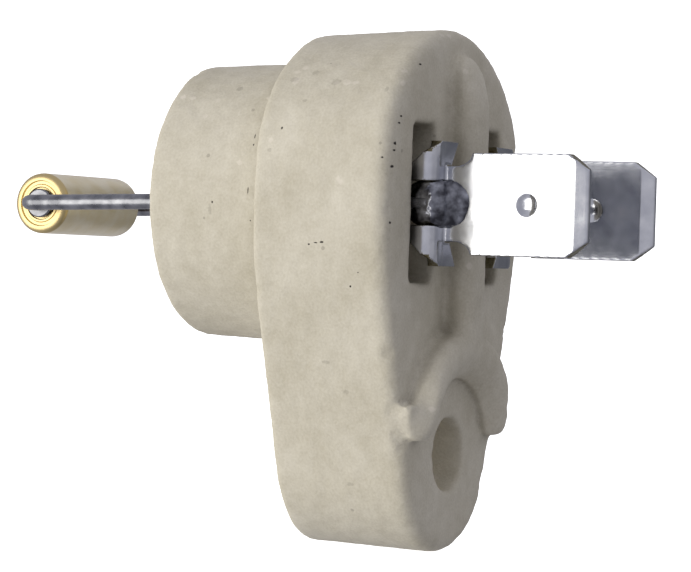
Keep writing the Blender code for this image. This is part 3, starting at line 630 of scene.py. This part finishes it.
def fired_alumina():
    """Extruded and fired alumina: hard white ceramic with a fine tooth and faint grey stains."""
    material, tree, surface = new_material("alumina, extruded and fired")
    place = add(tree, "TexCoord", {})["Object"]
    stain, colour = two_tones(tree, place, 0.5 * MM, "D6D3C8", "F0EEE6")
    tooth = add(tree, "TexNoise", {"Vector": place, "Scale": 1 / (0.06 * MM), "Detail": 2.0})["Fac"]
    rough = add(tree, "Math", {0: stain, 1: 0.2, 2: 0.45}, operation="MULTIPLY_ADD")["Value"]
    bump = add(tree, "Bump", {"Height": tooth, "Strength": 0.3, "Distance": 0.01 * MM})["Normal"]
    inputs = {"Base Color": colour, "Roughness": rough, "Normal": bump}
    tree.links.new(add(tree, "BsdfPrincipled", inputs)["BSDF"], surface)
    return material


def cured_resin():
    """Epoxy run in and cured: dark brown and glossy, slightly uneven where it shrank."""
    material, tree, surface = new_material("epoxy resin, poured and cured")
    place = add(tree, "TexCoord", {})["Object"]
    swirl, colour = two_tones(tree, place, 0.7 * MM, "3A2014", "6B4028")
    rough = add(tree, "Math", {0: swirl, 1: 0.25, 2: 0.12}, operation="MULTIPLY_ADD")["Value"]
    bump = add(tree, "Bump", {"Height": swirl, "Strength": 0.4, "Distance": 0.05 * MM})["Normal"]
    inputs = {"Base Color": colour, "Roughness": rough, "Normal": bump}
    tree.links.new(add(tree, "BsdfPrincipled", inputs)["BSDF"], surface)
    return material


def disc_profile(low, high, edge):
    """A solid disc that fills the case, with broken edges."""
    flat = INSIDE_RADIUS - edge
    rim = [(high, flat), (high - edge, INSIDE_RADIUS), (low + edge, INSIDE_RADIUS), (low, flat)]
    return [(high, 0), *rim, (low, 0)]


def coil_points(low, high, radius, turns):
    """A coil about the case's axis, its ends resting on flat faces."""
    count = COIL_STEPS * turns
    start, end = low + SPRING_WIRE, high - SPRING_WIRE
    points = []
    for i in range(count + 1):
        angle = math.tau * i / COIL_STEPS
        x = start + (end - start) * i / count
        points.append((x, CASE_Y + radius * math.sin(angle), CASE_Z + radius * math.cos(angle)))
    return points


steel = bright_metal("spring steel, drawn", "7E8084", "B9BBBE", 0.3)
pellet = turned("pellet", disc_profile(*PELLET_X, PELLET_EDGE))
finish_piece(pellet, pressed_pellet(), "holder", "thermal_pellet")
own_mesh(pellet)

disc = turned("pellet_side_disc", disc_profile(*PELLET_DISC_X, DISC_EDGE))
finish_piece(disc, steel, "pellet_follower", "pellet_disc")
disc = turned("contact_side_disc", disc_profile(*CONTACT_DISC_X, DISC_EDGE))
finish_piece(disc, steel, "contact_carrier", "contact_disc")

main_coil = coil_points(*MAIN_SPRING_X, radius=1.25, turns=3)
trip_coil = coil_points(*TRIP_SPRING_X, radius=1.3, turns=2)
springs = (
    ("main_spring", main_coil, "compression_spring", "pellet_follower"),
    ("return_spring", trip_coil, "trip_spring", "contact_carrier"),
)
for name, points, node, body in springs:
    spring = wire_through(name, points, SPRING_WIRE)
    spring.data.materials.append(steel)
    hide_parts(node)
    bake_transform(spring)

star = copy_of("star_contact", "silver_star")
corners = {"limit_method": "ANGLE", "angle_limit": math.radians(30)}
apply_modifier(star, "BEVEL", width=0.03 * MM, segments=2, **corners)
bpy.ops.object.shade_smooth_by_angle(angle=math.radians(30))
silver = bright_metal("silver plate, blanked", "B9B9BC", "E8E8E9", 0.22)
finish_piece(star, silver, "contact_carrier", "star_contact")

low, high = BUSHING_X
inner_wall = [(low, BORE_RADIUS), (high, BORE_RADIUS)]
outer_wall = [(high, INSIDE_RADIUS - DISC_EDGE), (high - DISC_EDGE, INSIDE_RADIUS), (low, INSIDE_RADIUS)]
bushing = turned("alumina_bushing", [*inner_wall, *outer_wall])
finish_piece(bushing, fired_alumina(), "holder", "ceramic_bushing")

seal = turned("resin_seal", SEAL_PROFILE)
finish_piece(seal, cured_resin(), "holder", "epoxy_seal")


# ---------------------------------------------------------------------------------------------------------
# Stage: a pale round sweep, one soft level light from the front right, a sky that is darker behind and below,
# a grey card for the bright metal to mirror, and the camera.

FLOOR_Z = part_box("ceramic_holder")[0].z
SWEEP_RADIUS = 1.2
SWEEP_HEIGHT = 1.6
CARD_AZIMUTH = math.radians(155)  # from +X towards +Y
CARD_DISTANCE = 0.35
CARD_SIZE = 0.45
DARKER_TOWARDS = (-0.1, 0.55, -0.6)
CAMERA_AIM = Vector((-0.61, 1.31, -5.34)) * MM
CAMERA_DISTANCE = 211.3 * MM
CAMERA_AZIMUTH = math.radians(115.8)
CAMERA_ELEVATION = math.radians(0.22)
CAMERA_ROLL = math.radians(1.78)
CAMERA_LENS = 169.3  # mm
CAMERA_SENSOR = 36


def pale_paper():
    """White paper with a faint tooth, so bright that no shadow shows on it."""
    material, tree, surface = new_material("paper sweep")
    place = add(tree, "TexCoord", {})["Object"]
    tooth = add(tree, "TexNoise", {"Vector": place, "Scale": 1 / (3 * MM)})["Fac"]
    bump = add(tree, "Bump", {"Height": tooth, "Strength": 0.05, "Distance": 0.1 * MM})["Normal"]
    inputs = {"Base Color": linear("FAFAFA"), "Roughness": 0.95, "Normal": bump}
    inputs.update({"Emission Color": linear("FFFFFF"), "Emission Strength": 1.05})
    tree.links.new(add(tree, "BsdfPrincipled", inputs)["BSDF"], surface)
    return material


def black_card():
    """Dark matte card that only shiny pieces see, so that faces turned from the light look dark."""
    material, tree, surface = new_material("black card")
    place = add(tree, "TexCoord", {})["Object"]
    tooth = add(tree, "TexNoise", {"Vector": place, "Scale": 1 / (3 * MM)})["Fac"]
    bump = add(tree, "Bump", {"Height": tooth, "Strength": 0.05, "Distance": 0.1 * MM})["Normal"]
    inputs = {"Base Color": linear("77797D"), "Roughness": 0.9, "Normal": bump}
    tree.links.new(add(tree, "BsdfPrincipled", inputs)["BSDF"], surface)
    return material


bpy.ops.object.select_all(action="DESELECT")
bpy.ops.mesh.primitive_circle_add(vertices=96, radius=SWEEP_RADIUS, fill_type="NGON")
sweep = bpy.context.object
sweep.location.z = FLOOR_Z
sweep.name = "paper_sweep"
bpy.ops.object.mode_set(mode="EDIT")
bpy.ops.mesh.extrude_region_move(TRANSFORM_OT_translate={"value": (0, 0, SWEEP_HEIGHT)})
bpy.ops.mesh.delete(type="ONLY_FACE")
bpy.ops.object.mode_set(mode="OBJECT")
sweep.data.materials.append(pale_paper())
for ray in ("diffuse", "glossy", "transmission", "shadow"):
    setattr(sweep, f"visible_{ray}", False)


def soft_light(name, azimuth, elevation, distance, size, watts, colour):
    """A square soft light that looks at the middle of the part. Azimuth 0 is at +X, and 90 at +Y."""
    light = bpy.data.lights.new(name, "AREA")
    light.shape, light.size, light.energy, light.color = "SQUARE", size, watts, linear(colour)[:3]
    lamp = bpy.data.objects.new(name, light)
    bpy.context.scene.collection.objects.link(lamp)
    a, e = math.radians(azimuth), math.radians(elevation)
    back = Vector((math.cos(a) * math.cos(e), math.sin(a) * math.cos(e), math.sin(e)))
    turned_to_part = back.to_track_quat("Z", "Y").to_matrix().to_4x4()
    lamp.matrix_world = Matrix.Translation(back * distance) @ turned_to_part
    lamp.visible_camera = False


soft_light("key", azimuth=-37, elevation=-3, distance=0.45, size=0.44, watts=1.6, colour="FFFCF2")

bpy.ops.object.select_all(action="DESELECT")
card_place = Matrix.Rotation(CARD_AZIMUTH, 4, "Z") @ Matrix.Translation((CARD_DISTANCE, 0, 0))
card_place = card_place @ Matrix.Rotation(math.radians(90), 4, "Y")
bpy.ops.mesh.primitive_plane_add(size=CARD_SIZE)
card = bpy.context.object
card.name = "black_card"
card.data.transform(card_place)
card.data.materials.append(black_card())
for ray in ("camera", "diffuse", "transmission", "shadow"):
    setattr(card, f"visible_{ray}", False)

world = bpy.data.worlds.new("studio")
world.use_nodes = True
bpy.context.scene.world = world
sky = world.node_tree.nodes["Background"]
sky.inputs["Color"].default_value = linear("E8E8F2")
heading = add(world.node_tree, "TexCoord", {})["Generated"]
away = {0: heading, 1: DARKER_TOWARDS}
away = add(world.node_tree, "VectorMath", away, operation="DOT_PRODUCT")["Value"]
limits = {"Value": away, "From Min": 0.1, "From Max": 0.8, "To Min": 0.68, "To Max": 0.28}
world.node_tree.links.new(add(world.node_tree, "MapRange", limits)["Result"], sky.inputs["Strength"])

camera = bpy.data.objects.new("camera", bpy.data.cameras.new("camera"))
bpy.context.scene.collection.objects.link(camera)
camera.data.lens = CAMERA_LENS
camera.data.sensor_width = CAMERA_SENSOR
camera.data.clip_start = 10 * MM
turn = Matrix.Rotation(CAMERA_AZIMUTH, 4, "Z") @ Matrix.Rotation(math.pi / 2 - CAMERA_ELEVATION, 4, "X")
turn = turn @ Matrix.Rotation(CAMERA_ROLL, 4, "Z")
camera.matrix_world = Matrix.Translation(CAMERA_AIM) @ turn @ Matrix.Translation((0, 0, CAMERA_DISTANCE))
bpy.context.scene.camera = camera
bpy.context.scene.view_settings.view_transform = "Standard"
